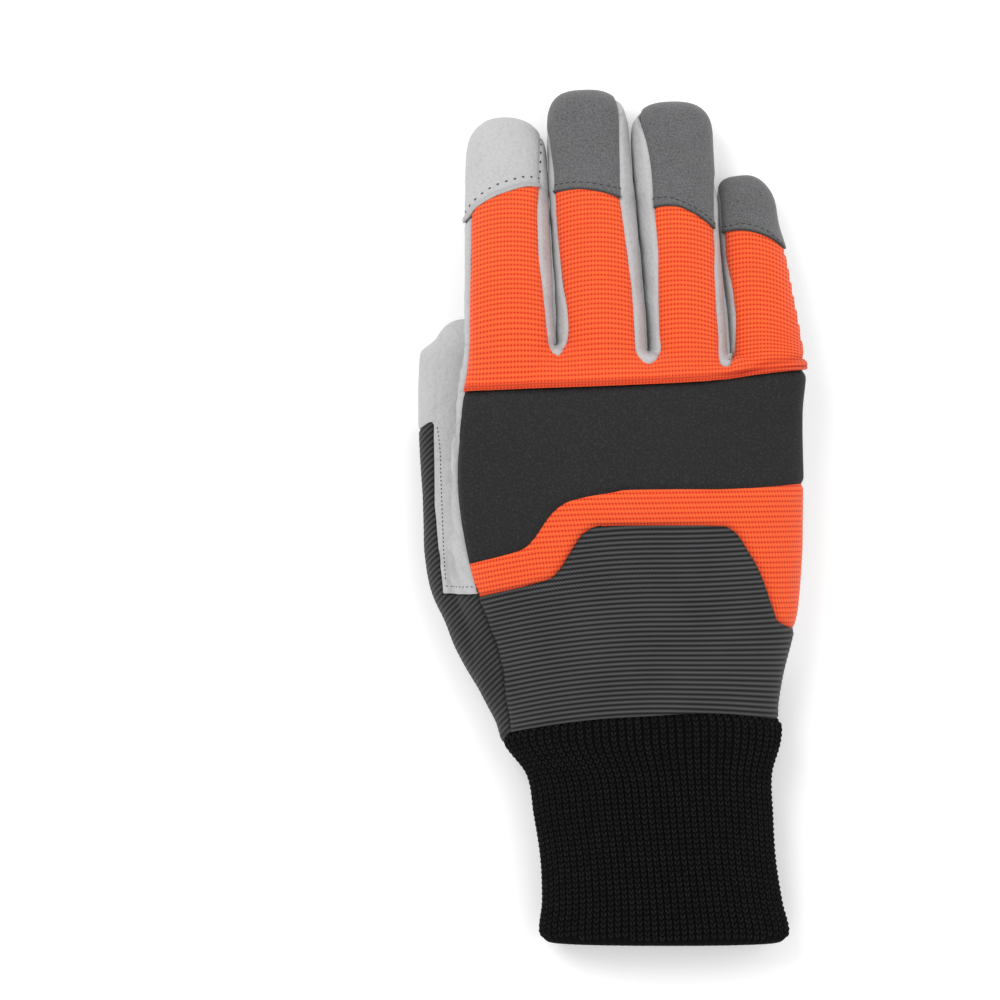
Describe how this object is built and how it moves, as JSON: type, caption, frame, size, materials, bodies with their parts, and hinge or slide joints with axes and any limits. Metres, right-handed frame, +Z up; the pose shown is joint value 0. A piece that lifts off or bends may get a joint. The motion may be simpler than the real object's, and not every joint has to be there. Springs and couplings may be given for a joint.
{
  "type": "chainsaw work glove",
  "caption": "Right-hand work glove of grey leather and ribbed orange and grey stretch fabric, with a padded guard over the back of the hand, a quilted palm patch and a black knit cuff.",
  "frame": {"origin": "on the surface that the glove lies on, under the middle of its plan", "axes": "+Y from the cuff to the fingertips, +Z up from the palm to the back of the hand, +X from the thumb to the little finger"},
  "size_m": [0.1336, 0.296, 0.0471],
  "materials": {
    "leather": "pale grey grain leather",
    "orange_rib": "fluorescent orange ribbed stretch knit",
    "guard": "charcoal smooth padded stretch fabric",
    "grey_rib": "dark grey ribbed stretch knit",
    "suede": "grey synthetic suede",
    "knit": "black rib-knit polyester and elastane"
  },
  "bodies": {
    "root": {"index_cap": "leather", "middle_cap": "suede", "ring_cap": "suede", "little_cap": "suede", "knuckle_fabric": "orange_rib", "guard_panel": "guard", "band_fabric": "orange_rib", "wrist_panel": "grey_rib", "thumb_gusset": "grey_rib", "thumb_tip": "leather", "side_panel": "leather", "fourchette_index_middle": "leather", "fourchette_middle_ring": "leather", "fourchette_ring_little": "leather", "middle_front": "leather", "ring_front": "leather", "little_front": "leather", "index_front": "leather", "thumb_front": "leather", "palm_leather": "leather", "palm_patch": "leather", "knit_cuff": "knit"}
  },
  "joints": []
}
